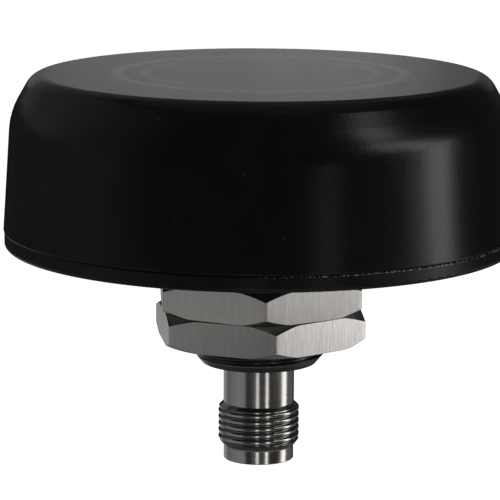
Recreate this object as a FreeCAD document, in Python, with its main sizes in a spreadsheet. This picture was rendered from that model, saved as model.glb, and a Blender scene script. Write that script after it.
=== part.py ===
# Through-hole-mount satellite navigation antenna: a drafted radome on a shallow black base, a hollow
# threaded stem with its lock washer and two jam nuts, a threaded coaxial jack at the stem's lower end,
# and inside the housing a circuit board that carries two stacked ceramic patch aerials.
# The origin is on the axis, in the plane where the base's gasket meets the panel; +Z is up.
import FreeCAD, Part
import math
import os
import Sketcher

Z_AXIS = FreeCAD.Vector(0, 0, 1)

# Driving dimensions, in millimetres and degrees, and plain counts.
SIZES = [
    # radome
    ("radome_diameter", 69.52),
    ("radome_height", 21.18),
    ("side_draft", 1.04),
    ("shoulder_height", 15.97),
    ("crown_inset", 2.97),
    ("shoulder_rounding", 9.9),
    ("crown_rounding", 2.7),
    ("radome_wall", 2.2),
    ("radome_lip_rounding", 0.25),
    ("boss_diameter", 6.0),
    ("boss_gap", 0.255),
    ("boss_hole_depth", 9.0),
    ("gusset_width", 1.2),
    ("gusset_height", 9.0),
    ("gusset_gap", 0.5),
    # base
    ("base_inset", 0.13),
    ("base_rim_height", 2.15),
    ("base_floor", 3.6),
    ("base_edge_rounding", 0.6),
    ("base_lip_rounding", 0.25),
    ("spigot_height", 5.2),
    ("spigot_gap", 0.2),
    ("spigot_wall", 2.6),
    ("standoff_diameter", 5.2),
    ("standoff_height", 8.2),
    ("standoff_gap", 0.155),
    ("standoff_hole_depth", 5.3),
    # seal between radome and base
    ("seal_section", 1.5),
    ("seal_height", 3.7),
    ("seal_groove_width", 1.8),
    # panel gasket
    ("gasket_thickness", 1.5),
    ("gasket_recess", 0.7),
    ("gasket_screw_gap", 0.4),
    ("gasket_inner_diameter", 23.0),
    ("gasket_gap", 0.2),
    # screws that hold the radome to the base
    ("housing_screw_count", 4),
    ("screw_diameter", 3.0),
    ("screw_length", 9.0),
    ("screw_head_diameter", 5.4),
    ("screw_head_height", 1.4),
    ("screw_recess_depth", 1.8),
    ("screw_gap", 0.2),
    ("screw_drive_across_flats", 2.0),
    ("screw_drive_depth", 0.9),
    # threaded stem
    ("stem_diameter", 19.05),
    ("stem_reach", 15.54),
    ("stem_end_inset", 1.725),
    ("stem_end_taper", 2.07),
    ("stem_end_rounding", 1.2),
    ("stem_gap", 0.08),
    ("stem_flange_diameter", 32.0),
    ("stem_flange_thickness", 2.0),
    ("stem_flange_recess", 0.8),
    ("stem_bore_diameter", 14.0),
    ("stem_bore_floor", 8.54),
    ("stem_screw_count", 3),
    ("stem_screw_circle", 25.0),
    ("stem_screw_diameter", 2.0),
    ("stem_screw_length", 3.4),
    ("stem_screw_head_diameter", 3.8),
    ("stem_screw_head_height", 1.0),
    # lock washer and jam nuts
    ("nut_across_flats", 26.7),
    ("nut_height", 4.43),
    ("nut_chamfer_start", 0.5),
    ("nut_chamfer_angle", 33.2),
    ("nut_bore_countersink", 0.5),
    ("nut_bore_gap", 0.06),
    ("nut_jam_gap", 0.04),
    ("upper_nut_drop", 3.36),
    ("upper_nut_turn", 3.16),
    ("lower_nut_turn", 8.33),
    ("washer_diameter", 25.0),
    ("washer_thickness", 1.2),
    ("washer_gap", 0.04),
    ("washer_bore_gap", 0.06),
    ("washer_tooth_length", 1.3),
    ("washer_slot_width", 1.6),
    ("washer_slot_count", 16),
    # coaxial jack
    ("jack_drop", 29.13),
    ("jack_nose_diameter", 9.6),
    ("jack_nose_length", 1.83),
    ("jack_thread_diameter", 11.08),
    ("jack_thread_length", 6.0),
    ("jack_thread_taper", 0.96),
    ("jack_barrel_diameter", 9.7),
    ("jack_flange_diameter", 13.6),
    ("jack_flange_thickness", 2.0),
    ("jack_tail_diameter", 3.6),
    ("jack_tail_length", 3.0),
    ("jack_tail_bore", 1.1),
    ("jack_bore_diameter", 8.14),
    ("jack_bore_depth", 8.3),
    ("jack_mouth_chamfer", 0.25),
    ("jack_gap", 0.05),
    ("insulator_diameter", 4.7),
    ("insulator_setback", 1.3),
    ("insulator_web", 0.8),
    ("contact_diameter", 2.2),
    ("contact_setback", 0.35),
    ("contact_shoulder", 3.0),
    ("contact_tail_diameter", 0.9),
    ("contact_bore_diameter", 1.35),
    ("contact_bore_depth", 4.5),
    ("contact_slot_width", 0.25),
    ("contact_slot_length", 3.6),
    ("contact_slot_count", 4),
    ("jack_seal_section", 1.2),
    ("jack_seal_groove_width", 1.5),
    ("jack_seal_drop", 2.0),
    ("retainer_thickness", 1.8),
    ("retainer_bore", 8.0),
    ("retainer_slot_width", 1.5),
    ("retainer_slot_depth", 0.8),
    # coaxial pigtail
    ("pigtail_diameter", 1.4),
    ("pigtail_bend_radius", 7.0),
    ("plug_diameter", 3.0),
    ("plug_height", 1.6),
    ("plug_reach", 12.0),
    ("plug_barrel_diameter", 1.5),
    ("plug_barrel_length", 2.4),
    ("socket_size", 2.6),
    ("socket_height", 0.9),
    # circuit board
    ("board_edge_gap", 2.555),
    ("board_thickness", 1.6),
    ("board_scallop_gap", 0.6),
    ("board_screw_count", 4),
    ("board_screw_diameter", 2.0),
    ("board_screw_length", 6.0),
    ("board_screw_head_diameter", 3.8),
    ("board_screw_head_height", 1.3),
    ("can_length", 26.0),
    ("can_width", 15.0),
    ("can_height", 2.0),
    ("can_wall", 0.25),
    ("can_edge_gap", 7.0),
    ("filter_size", 3.0),
    ("filter_height", 1.1),
    ("filter_spacing", 8.0),
    ("amplifier_size", 2.0),
    ("amplifier_height", 0.8),
    ("amplifier_spacing", 8.0),
    ("amplifier_row", 4.0),
    ("capacitor_length", 1.6),
    ("capacitor_width", 0.8),
    ("capacitor_height", 0.7),
    ("capacitor_pitch", 3.4),
    ("capacitor_count", 6),
    ("capacitor_row", 18.0),
    # stacked patch aerials
    ("tape_thickness", 0.2),
    ("patch_corner_gap", 0.75),
    ("lower_patch_height", 4.0),
    ("upper_patch_inset", 4.5),
    ("upper_patch_height", 3.0),
    ("patch_corner_rounding", 0.8),
    ("electrode_margin", 2.0),
    ("electrode_thickness", 0.1),
    ("electrode_corner_cut", 1.6),
    ("feed_pin_diameter", 0.9),
    ("feed_pin_head_diameter", 1.8),
    ("feed_pin_head_height", 0.3),
    ("feed_pin_tail", 1.0),
    ("feed_gap", 0.15),
    ("lower_feed_gap", 0.5),
    ("upper_feed_offset", 3.2),
    ("foam_diameter", 20.0),
    ("foam_gap", 0.1),
]
NAMES = {alias for alias, number in SIZES}

doc = FreeCAD.newDocument("NavigationAntenna")
sheet = doc.addObject("Spreadsheet::Sheet", "Sizes")
for row, (alias, number) in enumerate(SIZES, start=1):
    sheet.set(f"A{row}", alias)
    sheet.set(f"B{row}", str(number))
    sheet.setAlias(f"B{row}", alias)
doc.recompute()

# Levels above the panel plane that several pieces share, as expressions of the sizes.
BASE_BOTTOM = "(gasket_thickness - gasket_recess)"
SEAM = f"({BASE_BOTTOM} + base_rim_height)"
FLOOR_TOP = f"({BASE_BOTTOM} + base_floor)"
FLANGE_BOTTOM = f"({FLOOR_TOP} - stem_flange_recess)"
FLANGE_TOP = f"({FLANGE_BOTTOM} + stem_flange_thickness)"
CEILING = f"({SEAM} + radome_height - radome_wall)"
BOARD_BOTTOM = f"({BASE_BOTTOM} + standoff_height)"
BOARD_TOP = f"({BOARD_BOTTOM} + board_thickness)"
LOWER_PATCH_BOTTOM = f"({BOARD_TOP} + tape_thickness)"
LOWER_PATCH_TOP = f"({LOWER_PATCH_BOTTOM} + lower_patch_height)"
UPPER_TAPE_BOTTOM = f"({LOWER_PATCH_TOP} + electrode_thickness)"
UPPER_PATCH_BOTTOM = f"({UPPER_TAPE_BOTTOM} + tape_thickness)"
UPPER_PATCH_TOP = f"({UPPER_PATCH_BOTTOM} + upper_patch_height)"
PIN_SEAT = f"({UPPER_PATCH_TOP} + electrode_thickness)"
JACK_SEAT = "(stem_bore_floor - stem_reach)"
JACK_FLANGE_TOP = f"({JACK_SEAT} + jack_flange_thickness)"
JACK_TAIL_TOP = f"({JACK_FLANGE_TOP} + jack_tail_length)"
SOCKET_BOTTOM = f"({BOARD_BOTTOM} - socket_height)"
PIGTAIL_LEVEL = f"({SOCKET_BOTTOM} - plug_height / 2)"
FOAM_BOTTOM = f"({PIN_SEAT} + feed_pin_head_height + foam_gap)"

# Slope of the radome's drafted side, and radii and places that several pieces share.
DRAFT = "(side_draft / shoulder_height)"
SHOULDER_RADIUS = "(radome_diameter / 2 - side_draft)"
CROWN_RADIUS = f"({SHOULDER_RADIUS} - crown_inset)"
BASE_RADIUS = "(radome_diameter / 2 - base_inset)"
WALL_RADIUS = f"(radome_diameter / 2 - radome_wall * sqrt(1 + {DRAFT} ^ 2))"
SEAL_RADIUS = f"({WALL_RADIUS} - (seal_height - base_rim_height) * {DRAFT} - seal_section / 2)"
STEM_HOLE = "(stem_diameter / 2 + stem_gap)"
JACK_HOLE = "(jack_barrel_diameter / 2 + jack_gap)"
SPIGOT_BORE = f"({WALL_RADIUS} - spigot_gap - spigot_wall)"
BOSS = f"({SPIGOT_BORE} - boss_gap - boss_diameter / 2)"
CORNER = f"(({SPIGOT_BORE} - standoff_gap - standoff_diameter / 2) * cos(45 deg))"
GASKET_DIAMETER = f"(2 * ({BOSS} - screw_gap - gasket_screw_gap) - screw_head_diameter)"
BOARD_RADIUS = f"({WALL_RADIUS} - board_edge_gap)"
CAN_PLACE = f"({BOARD_RADIUS} - can_edge_gap - can_width / 2)"
LOWER_PATCH = f"(2 * ({CORNER} - board_screw_head_diameter / 2 * cos(45 deg) - patch_corner_gap))"
UPPER_PATCH = f"({LOWER_PATCH} - 2 * upper_patch_inset)"
LOWER_FEED = f"(({UPPER_PATCH} + feed_pin_head_diameter) / 2 + lower_feed_gap)"
FEEDS = [LOWER_FEED, "upper_feed_offset"]
UPPER_FEED = ["upper_feed_offset"]


def size(alias):
    """The number in the sheet's cell of that name."""
    return float(sheet.get(alias))


def bound(text):
    """An expression with every size name turned into a reference to its cell."""
    words = []
    word = ""
    for character in f"{text} ":
        if character.isalnum() or character == "_":
            word += character
            continue
        words.append(f"Sizes.{word}" if word in NAMES else word)
        words.append(character)
        word = ""
    return "".join(words).strip()


def new_body(name, height="0", turn=None):
    """A body whose own level 0 lies at the given height, turned about the axis where asked."""
    body = doc.addObject("PartDesign::Body", name)
    body.Label = name
    if turn:
        body.Placement = FreeCAD.Placement(FreeCAD.Vector(0, 0, 0), FreeCAD.Rotation(Z_AXIS, 10))
        body.setExpression("Placement.Rotation.Angle", bound(turn))
    body.setExpression("Placement.Base.z", bound(height))
    return body


def datum(body, role):
    """The body's own plane or axis of that role."""
    return next(feature for feature in body.Origin.OriginFeatures if feature.Role == role)


def new_sketch(body, name, role="XZ_Plane", level=None, across=None, along=None):
    """A sketch on one of the body's own planes, moved in it and along its normal by expressions."""
    sketch = body.newObject("Sketcher::SketchObject", name)
    sketch.AttachmentSupport = [(datum(body, role), "")]
    sketch.MapMode = "FlatFace"
    for letter, text in (("x", across), ("y", along), ("z", level)):
        if text:
            sketch.setExpression(f"AttachmentOffset.Base.{letter}", bound(text))
    return sketch


def dimension(sketch, *constraint, text):
    """A driving dimension whose value is an expression of the sheet's cells."""
    index = sketch.addConstraint(Sketcher.Constraint(*constraint))
    sketch.setExpression(f"Constraints[{index}]", bound(text))


def closed_lines(sketch, spots):
    """Straight lines from spot to spot and back to the first, joined at their ends."""
    count = len(spots)
    lines = []
    for i in range(count):
        line = Part.LineSegment(spots[i], spots[(i + 1) % count])
        lines.append(sketch.addGeometry(line, False))
    for i in range(count):
        sketch.addConstraint(Sketcher.Constraint("Coincident", lines[i], 2, lines[(i + 1) % count], 1))
    return lines


def outline(sketch, corners):
    """A closed outline through corners, each a pair of expressions: from the axis, and up."""
    spots = []
    for i in range(len(corners)):
        angle = 2 * math.pi * i / len(corners)
        spots.append(FreeCAD.Vector(30 + 9 * math.cos(angle), 30 + 9 * math.sin(angle), 0))
    for line, spot, (across, up) in zip(closed_lines(sketch, spots), spots, corners):
        if across == "0":
            sketch.addConstraint(Sketcher.Constraint("PointOnObject", line, 1, -2))
        else:
            dimension(sketch, "DistanceX", -1, 1, line, 1, spot.x, text=across)
        if up == "0":
            sketch.addConstraint(Sketcher.Constraint("PointOnObject", line, 1, -1))
        else:
            dimension(sketch, "DistanceY", -1, 1, line, 1, spot.y, text=up)


def circle(diameter):
    """Draws a circle about the sketch's origin."""
    def draw(sketch):
        ring = sketch.addGeometry(Part.Circle(FreeCAD.Vector(0, 0, 0), Z_AXIS, 3), False)
        sketch.addConstraint(Sketcher.Constraint("Coincident", ring, 3, -1, 1))
        dimension(sketch, "Diameter", ring, 6, text=diameter)
    return draw


def annulus(outer, inner):
    """Draws two circles about the sketch's origin."""
    def draw(sketch):
        circle(outer)(sketch)
        circle(inner)(sketch)
    return draw


def rectangle(width, depth):
    """Draws a rectangle about the sketch's origin."""
    def draw(sketch):
        corners = [(-5, -4), (5, -4), (5, 4), (-5, 4)]
        sides = closed_lines(sketch, [FreeCAD.Vector(x, y, 0) for x, y in corners])
        for i, side in enumerate(sides):
            sketch.addConstraint(Sketcher.Constraint(("Horizontal", "Vertical")[i % 2], side))
        sketch.addConstraint(Sketcher.Constraint("Symmetric", sides[0], 1, sides[1], 2, -1, 1))
        dimension(sketch, "DistanceX", sides[0], 1, sides[0], 2, 10, text=width)
        dimension(sketch, "DistanceY", sides[1], 1, sides[1], 2, 8, text=depth)
    return draw


def clipped_square(width, cut):
    """Draws a square about the sketch's origin with two opposite corners cut off at 45 degrees."""
    def draw(sketch):
        corners = [(-5, -5), (4, -5), (5, -4), (5, 5), (-4, 5), (-5, 4)]
        sides = closed_lines(sketch, [FreeCAD.Vector(x, y, 0) for x, y in corners])
        for i in (0, 3):
            sketch.addConstraint(Sketcher.Constraint("Horizontal", sides[i]))
        for i in (2, 5):
            sketch.addConstraint(Sketcher.Constraint("Vertical", sides[i]))
        sketch.addConstraint(Sketcher.Constraint("Symmetric", sides[0], 1, sides[2], 2, -1, 1))
        dimension(sketch, "DistanceX", sides[0], 1, sides[2], 2, 10, text=width)
        dimension(sketch, "DistanceY", sides[0], 1, sides[2], 2, 10, text=width)
        for first, start, end in ((1, 1, 2), (4, 2, 1)):
            dimension(sketch, "DistanceX", sides[first], start, sides[first], end, 1, text=cut)
            dimension(sketch, "DistanceY", sides[first], start, sides[first], end, 1, text=cut)
    return draw


def hexagon(across_flats):
    """Draws a regular hexagon about the sketch's origin with a corner straight down."""
    def draw(sketch):
        guide = sketch.addGeometry(Part.Circle(FreeCAD.Vector(0, 0, 0), Z_AXIS, 10), True)
        sketch.addConstraint(Sketcher.Constraint("Coincident", guide, 3, -1, 1))
        spots = []
        for i in range(6):
            angle = math.radians(60 * i - 90)
            spots.append(FreeCAD.Vector(10 * math.cos(angle), 10 * math.sin(angle), 0))
        sides = closed_lines(sketch, spots)
        for side in sides:
            sketch.addConstraint(Sketcher.Constraint("PointOnObject", side, 1, guide))
        for side in sides[1:]:
            sketch.addConstraint(Sketcher.Constraint("Equal", sides[0], side))
        sketch.addConstraint(Sketcher.Constraint("PointOnObject", sides[0], 1, -2))
        dimension(sketch, "Radius", guide, 10, text=f"{across_flats} / sqrt(3)")
    return draw


def turned(body, name, corners, kind="Revolution"):
    """A full turn of an outline about the body's axis: material, or with kind Groove a cut."""
    before = body.Shape.Volume if kind == "Groove" else 0
    sketch = new_sketch(body, f"{name}Outline")
    outline(sketch, corners)
    turn = body.newObject(f"PartDesign::{kind}", name)
    turn.Profile = sketch
    turn.ReferenceAxis = (sketch, ["V_Axis"])
    turn.Angle = 360
    doc.recompute()
    if kind == "Groove" and not body.Shape.Volume < before:
        raise RuntimeError(f"{name} cuts nothing from {body.Label}")
    return turn


def raised(body, name, draw, length, **where):
    """Material padded upwards from a level sketch that draw fills in."""
    sketch = new_sketch(body, f"{name}Outline", "XY_Plane", **where)
    draw(sketch)
    pad = body.newObject("PartDesign::Pad", name)
    pad.Profile = sketch
    pad.setExpression("Length", bound(length))
    doc.recompute()
    return pad


def sunk(body, name, draw, depth, upwards=False, **where):
    """A pocket cut downwards, or upwards, from a level sketch that draw fills in."""
    before = body.Shape.Volume
    sketch = new_sketch(body, f"{name}Outline", "XY_Plane", **where)
    draw(sketch)
    pocket = body.newObject("PartDesign::Pocket", name)
    pocket.Profile = sketch
    pocket.Reversed = upwards
    pocket.setExpression("Length", bound(depth))
    doc.recompute()
    if not body.Shape.Volume < before:
        raise RuntimeError(f"{name} cuts nothing from {body.Label}")
    return pocket


def around(body, features, count):
    """Copies of features evenly spaced about the body's axis."""
    pattern = body.newObject("PartDesign::PolarPattern", f"{features[-1].Name}Ring")
    pattern.Originals = features
    pattern.Axis = (datum(body, "Z_Axis"), [""])
    pattern.Angle = 360
    pattern.setExpression("Occurrences", bound(count))
    body.Tip = pattern
    doc.recompute()
    return pattern


def eased(body, name, kind, picked, amount):
    """A fillet or chamfer on the edges of the body that picked accepts."""
    base = body.Tip
    edges = [f"Edge{i}" for i, edge in enumerate(base.Shape.Edges, start=1) if picked(edge)]
    if not edges:
        raise RuntimeError(f"{name} finds no edge on {body.Label}")
    feature = body.newObject(f"PartDesign::{kind}", name)
    feature.Base = (base, edges)
    feature.setExpression("Radius" if kind == "Fillet" else "Size", bound(amount))
    doc.recompute()
    return feature


def circular(level, diameter):
    """Accepts circular edges of that level and diameter."""
    def picked(edge):
        if not isinstance(edge.Curve, Part.Circle):
            return False
        at_level = abs(edge.Curve.Center.z - level) < 0.005
        return at_level and abs(2 * edge.Curve.Radius - diameter) < 0.01
    return picked


def upright(edge):
    """Accepts straight edges that run parallel to the axis."""
    return isinstance(edge.Curve, Part.Line) and abs(edge.tangentAt(edge.FirstParameter).z) > 0.999


def make_radome():
    """Shell with drafted side and sloping shoulder, and inside it the bosses for the screws."""
    body = new_body("radome", SEAM)
    turned(body, "RadomeForm", [
        ("0", "0"),
        ("radome_diameter / 2", "0"),
        (SHOULDER_RADIUS, "shoulder_height"),
        (CROWN_RADIUS, "radome_height"),
        ("0", "radome_height"),
    ])
    shoulder_diameter = size("radome_diameter") - 2 * size("side_draft")
    shoulder = circular(size("shoulder_height"), shoulder_diameter)
    eased(body, "ShoulderRounding", "Fillet", shoulder, "shoulder_rounding")
    crown = circular(size("radome_height"), shoulder_diameter - 2 * size("crown_inset"))
    eased(body, "CrownRounding", "Fillet", crown, "crown_rounding")
    solid = body.Tip
    faces = solid.Shape.Faces
    lowest = min(range(len(faces)), key=lambda i: faces[i].CenterOfMass.z)
    hollow = body.newObject("PartDesign::Thickness", "RadomeHollow")
    hollow.Base = (solid, [f"Face{lowest + 1}"])
    hollow.setExpression("Value", bound("radome_wall"))
    hollow.Reversed = True
    body.Tip = hollow
    doc.recompute()
    lip = circular(0, size("radome_diameter"))
    eased(body, "LipRounding", "Fillet", lip, "radome_lip_rounding")
    boss_level = f"{FLOOR_TOP} - {SEAM}"
    boss = raised(
        body, "Boss", circle("boss_diameter"), f"{CEILING} - {FLOOR_TOP} + radome_wall / 2",
        level=boss_level, across=BOSS,
    )
    reach = f"({SHOULDER_RADIUS} - radome_wall / 2)"
    gusset = raised(
        body, "Gusset", rectangle(f"{reach} - {BOSS}", "gusset_width"), "gusset_height",
        level="spigot_height - base_rim_height + gusset_gap", across=f"({reach} + {BOSS}) / 2",
    )
    around(body, [boss, gusset], "housing_screw_count")
    hole = sunk(
        body, "BossHole", circle("screw_diameter"), "boss_hole_depth",
        upwards=True, level=boss_level, across=BOSS,
    )
    around(body, [hole], "housing_screw_count")
    return body


def make_base():
    """Round base with the spigot that centres the radome, standoffs and the recess for the gasket."""
    body = new_body("base_plate", BASE_BOTTOM)
    spigot = f"({WALL_RADIUS} - spigot_gap)"
    spigot_top = f"({spigot} - (spigot_height - base_rim_height) * {DRAFT})"
    turned(body, "BaseForm", [
        (STEM_HOLE, "0"),
        (BASE_RADIUS, "0"),
        (BASE_RADIUS, "base_rim_height"),
        (spigot, "base_rim_height"),
        (spigot_top, "spigot_height"),
        (SPIGOT_BORE, "spigot_height"),
        (SPIGOT_BORE, "base_floor"),
        (STEM_HOLE, "base_floor"),
    ])
    diameter = size("radome_diameter") - 2 * size("base_inset")
    eased(body, "EdgeRounding", "Fillet", circular(0, diameter), "base_edge_rounding")
    lip = circular(size("base_rim_height"), diameter)
    eased(body, "BaseLipRounding", "Fillet", lip, "base_lip_rounding")
    groove = f"({SEAL_RADIUS} - seal_section / 2)"
    turned(body, "SealGroove", [
        (groove, "seal_height - seal_groove_width / 2"),
        (BASE_RADIUS, "seal_height - seal_groove_width / 2"),
        (BASE_RADIUS, "seal_height + seal_groove_width / 2"),
        (groove, "seal_height + seal_groove_width / 2"),
    ], "Groove")
    sunk(
        body, "GasketRecess",
        annulus(f"{GASKET_DIAMETER} + 2 * gasket_gap", "gasket_inner_diameter - 2 * gasket_gap"),
        "gasket_recess", upwards=True,
    )
    sunk(
        body, "FlangeRecess", circle("stem_flange_diameter + 2 * stem_gap"), "stem_flange_recess",
        level="base_floor",
    )
    standoff = raised(
        body, "Standoff", circle("standoff_diameter"), "standoff_height - base_floor",
        level="base_floor", across=CORNER, along=CORNER,
    )
    around(body, [standoff], "board_screw_count")
    standoff_hole = sunk(
        body, "StandoffHole", circle("board_screw_diameter"), "standoff_hole_depth",
        level="standoff_height", across=CORNER, along=CORNER,
    )
    around(body, [standoff_hole], "board_screw_count")
    screw_hole = sunk(
        body, "ScrewHole", circle("screw_diameter + 2 * screw_gap"), "base_floor",
        upwards=True, across=BOSS,
    )
    screw_recess = sunk(
        body, "ScrewRecess", circle("screw_head_diameter + 2 * screw_gap"), "screw_recess_depth",
        upwards=True, across=BOSS,
    )
    around(body, [screw_hole, screw_recess], "housing_screw_count")
    pilot = sunk(
        body, "StemScrewPilot", circle("stem_screw_diameter"), "stem_screw_length - stem_flange_thickness",
        level="base_floor - stem_flange_recess", across="stem_screw_circle / 2",
    )
    around(body, [pilot], "stem_screw_count")
    return body


def make_ring_seal(name, height, radius, section):
    """A rubber ring of round section, its middle at that height."""
    ring = doc.addObject("Part::Torus", name)
    ring.Label = name
    ring.setExpression("Radius1", bound(radius))
    ring.setExpression("Radius2", bound(f"{section} / 2"))
    ring.setExpression("Placement.Base.z", bound(height))
    return ring


def make_gasket():
    """Flat rubber ring, half sunk in the base's underside."""
    body = new_body("panel_gasket")
    ring = annulus(GASKET_DIAMETER, "gasket_inner_diameter")
    raised(body, "GasketRing", ring, "gasket_thickness")
    return body


def make_screws(name, seat, diameter, length, head_diameter, head_height, heads_up, count, **where):
    """Separate like screws about the axis, their heads' undersides at the seat's height."""
    body = new_body(name, seat)
    body.AllowCompound = True
    reach = f"0 - {length}" if heads_up else None
    head_level = None if heads_up else f"0 - {head_height}"
    shank = raised(body, f"{name}Shank", circle(diameter), length, level=reach, **where)
    head = raised(body, f"{name}Head", circle(head_diameter), head_height, level=head_level, **where)
    features = [shank, head]
    if not heads_up:
        drive = sunk(
            body, f"{name}Drive", hexagon("screw_drive_across_flats"), "screw_drive_depth",
            upwards=True, level=head_level, **where,
        )
        features.append(drive)
    around(body, features, count)
    return body


def make_stem():
    """Hollow stem, its flange inside the housing and the seat for the jack in its bore."""
    body = new_body("threaded_stem", "0 - stem_reach")
    turned(body, "StemForm", [
        (JACK_HOLE, "0"),
        ("stem_diameter / 2 - stem_end_inset", "0"),
        ("stem_diameter / 2", "stem_end_taper"),
        ("stem_diameter / 2", f"stem_reach + {FLANGE_BOTTOM}"),
        ("stem_flange_diameter / 2", f"stem_reach + {FLANGE_BOTTOM}"),
        ("stem_flange_diameter / 2", f"stem_reach + {FLANGE_TOP}"),
        ("stem_bore_diameter / 2", f"stem_reach + {FLANGE_TOP}"),
        ("stem_bore_diameter / 2", "stem_bore_floor"),
        (JACK_HOLE, "stem_bore_floor"),
    ])
    end = circular(size("stem_end_taper"), size("stem_diameter"))
    eased(body, "StemEndRounding", "Fillet", end, "stem_end_rounding")
    hole = sunk(
        body, "FlangeHole", circle("stem_screw_diameter"), "stem_flange_thickness",
        level=f"stem_reach + {FLANGE_TOP}", across="stem_screw_circle / 2",
    )
    around(body, [hole], "stem_screw_count")
    return body


def make_nut(name, height, turn):
    """Hexagonal jam nut, chamfered on both faces, with a countersunk bore; its top at the height."""
    body = new_body(name, f"{height} - nut_height", turn)
    raised(body, f"{name}Blank", hexagon("nut_across_flats"), "nut_height")
    face = "(nut_across_flats / 2 + nut_chamfer_start)"
    rim = "(nut_across_flats / sqrt(3) + 1)"
    fall = f"(({rim} - {face}) * tan(nut_chamfer_angle * 1 deg))"
    upper = [(face, "nut_height"), (rim, "nut_height"), (rim, f"nut_height - {fall}")]
    lower = [(face, "0"), (rim, fall), (rim, "0")]
    turned(body, f"{name}UpperChamfer", upper, "Groove")
    turned(body, f"{name}LowerChamfer", lower, "Groove")
    sunk(
        body, f"{name}Bore", circle("stem_diameter + 2 * nut_bore_gap"), "nut_height", upwards=True,
    )
    bore = size("stem_diameter") + 2 * size("nut_bore_gap")
    mouths = [circular(level, bore) for level in (0, size("nut_height"))]
    eased(
        body, f"{name}Countersink", "Chamfer", lambda edge: any(mouth(edge) for mouth in mouths),
        "nut_bore_countersink",
    )
    return body


def make_washer():
    """Lock washer with teeth round its bore, resting on the upper nut."""
    body = new_body("lock_washer", "washer_gap - upper_nut_drop")
    bore = "(stem_diameter / 2 + washer_bore_gap)"
    raised(body, "WasherRing", annulus("washer_diameter", f"2 * {bore}"), "washer_thickness")
    slot = sunk(
        body, "WasherSlot", rectangle("washer_tooth_length + 1", "washer_slot_width"), "washer_thickness",
        upwards=True, across=f"{bore} + washer_tooth_length / 2 - 0.5",
    )
    around(body, [slot], "washer_slot_count")
    return body


def make_jack():
    """Coaxial jack: nose, coupling thread's cylinder, barrel, flange and crimp tail."""
    body = new_body("connector_body", "0 - jack_drop")
    seat = f"({JACK_SEAT} + jack_drop)"
    flange_top = f"({seat} + jack_flange_thickness)"
    tail_top = f"({flange_top} + jack_tail_length)"
    thread_end = "(jack_nose_length + jack_thread_length)"
    turned(body, "JackForm", [
        ("0", "0"),
        ("jack_nose_diameter / 2", "0"),
        ("jack_nose_diameter / 2", "jack_nose_length"),
        ("jack_thread_diameter / 2", "jack_nose_length + jack_thread_taper"),
        ("jack_thread_diameter / 2", f"{thread_end} - jack_thread_taper"),
        ("jack_barrel_diameter / 2", thread_end),
        ("jack_barrel_diameter / 2", seat),
        ("jack_flange_diameter / 2", seat),
        ("jack_flange_diameter / 2", flange_top),
        ("jack_tail_diameter / 2", flange_top),
        ("jack_tail_diameter / 2", tail_top),
        ("0", tail_top),
    ])
    turned(body, "JackBore", [
        ("0", "0"),
        ("jack_bore_diameter / 2 + jack_mouth_chamfer", "0"),
        ("jack_bore_diameter / 2", "jack_mouth_chamfer"),
        ("jack_bore_diameter / 2", "jack_bore_depth"),
        ("insulator_diameter / 2", "jack_bore_depth"),
        ("insulator_diameter / 2", f"{flange_top} - insulator_web"),
        ("jack_tail_bore / 2", f"{flange_top} - insulator_web"),
        ("jack_tail_bore / 2", tail_top),
        ("0", tail_top),
    ], "Groove")
    groove = f"({JACK_HOLE} - jack_seal_section)"
    middle = f"({seat} - jack_seal_drop)"
    turned(body, "JackSealGroove", [
        (groove, f"{middle} - jack_seal_groove_width / 2"),
        ("jack_flange_diameter / 2", f"{middle} - jack_seal_groove_width / 2"),
        ("jack_flange_diameter / 2", f"{middle} + jack_seal_groove_width / 2"),
        (groove, f"{middle} + jack_seal_groove_width / 2"),
    ], "Groove")
    return body


def make_insulator():
    """Dielectric sleeve that carries the contact in the jack."""
    body = new_body("connector_insulator", "0 - jack_drop")
    top = f"({JACK_FLANGE_TOP} + jack_drop - insulator_web)"
    shoulder = f"({top} - contact_shoulder)"
    turned(body, "InsulatorForm", [
        ("contact_diameter / 2", "insulator_setback"),
        ("insulator_diameter / 2", "insulator_setback"),
        ("insulator_diameter / 2", top),
        ("contact_tail_diameter / 2", top),
        ("contact_tail_diameter / 2", shoulder),
        ("contact_diameter / 2", shoulder),
    ])
    return body


def make_contact():
    """Slotted female contact with its solder tail."""
    body = new_body("connector_contact", "0 - jack_drop")
    shoulder = f"({JACK_FLANGE_TOP} + jack_drop - insulator_web - contact_shoulder)"
    end = f"({JACK_TAIL_TOP} + jack_drop)"
    turned(body, "ContactForm", [
        ("0", "contact_setback"),
        ("contact_diameter / 2", "contact_setback"),
        ("contact_diameter / 2", shoulder),
        ("contact_tail_diameter / 2", shoulder),
        ("contact_tail_diameter / 2", end),
        ("0", end),
    ])
    sunk(
        body, "ContactBore", circle("contact_bore_diameter"), "contact_bore_depth",
        upwards=True, level="contact_setback",
    )
    slot = sunk(
        body, "ContactSlot", rectangle("contact_diameter", "contact_slot_width"), "contact_slot_length",
        upwards=True, level="contact_setback", across="contact_diameter / 2",
    )
    around(body, [slot], "contact_slot_count")
    return body


def make_retainer():
    """Ring that clamps the jack's flange in the stem, with two spanner slots."""
    body = new_body("connector_retainer", JACK_FLANGE_TOP)
    ring = annulus("stem_bore_diameter - 2 * jack_gap", "retainer_bore")
    raised(body, "RetainerRing", ring, "retainer_thickness")
    sunk(
        body, "RetainerSlot", rectangle("stem_bore_diameter + 1", "retainer_slot_width"),
        "retainer_slot_depth", level="retainer_thickness",
    )
    return body


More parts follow.
